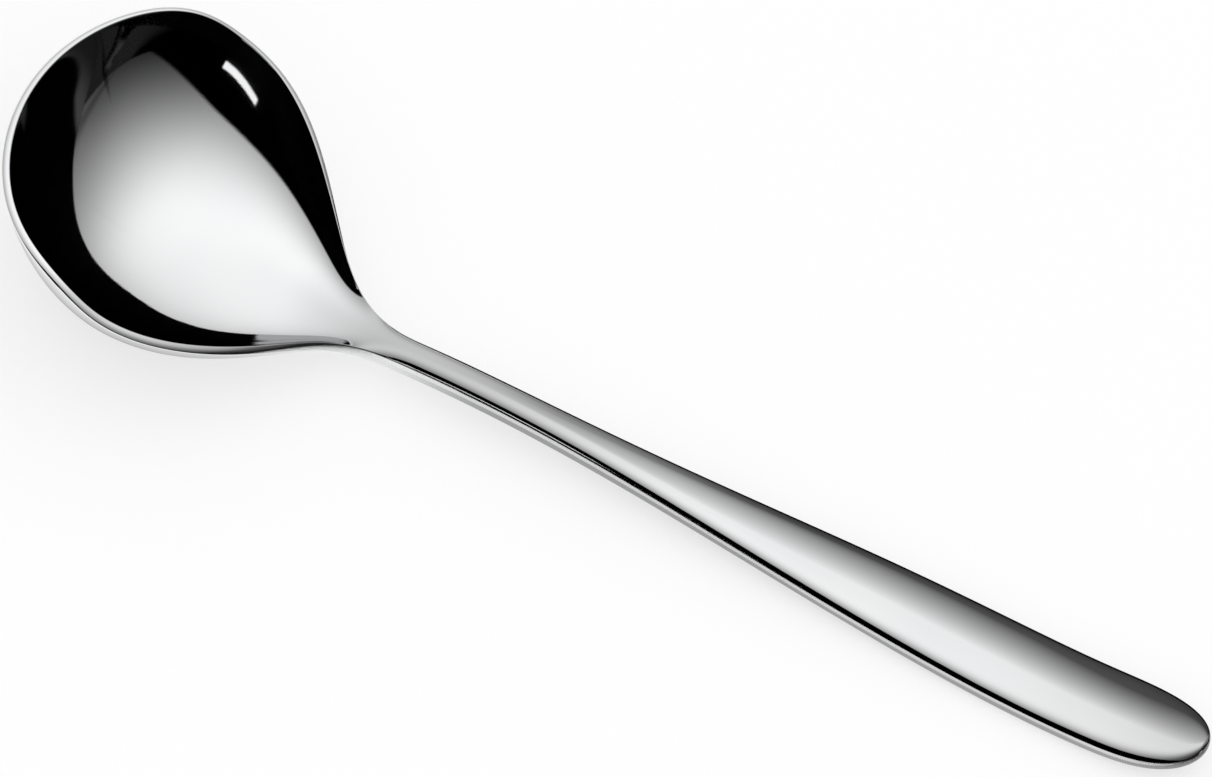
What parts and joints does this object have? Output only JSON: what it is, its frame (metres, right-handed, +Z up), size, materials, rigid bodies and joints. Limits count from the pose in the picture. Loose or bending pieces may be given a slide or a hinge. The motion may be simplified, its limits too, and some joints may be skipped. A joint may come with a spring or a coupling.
{
  "type": "soup spoon",
  "caption": "Polished steel soup spoon with a deep round bowl, a narrow neck and a slim crowned handle that widens to a blunt rounded end.",
  "frame": {"origin": "middle of the spoon's plan box, on the surface that the spoon lies on", "axes": "+X along the spoon from the bowl's tip to the handle's end, +Z up out of the open bowl"},
  "size_m": [0.18, 0.0524, 0.0203],
  "materials": {
    "polished_steel": "polished"
  },
  "bodies": {
    "root": {"bowl": "polished_steel", "handle": "polished_steel"}
  },
  "joints": []
}
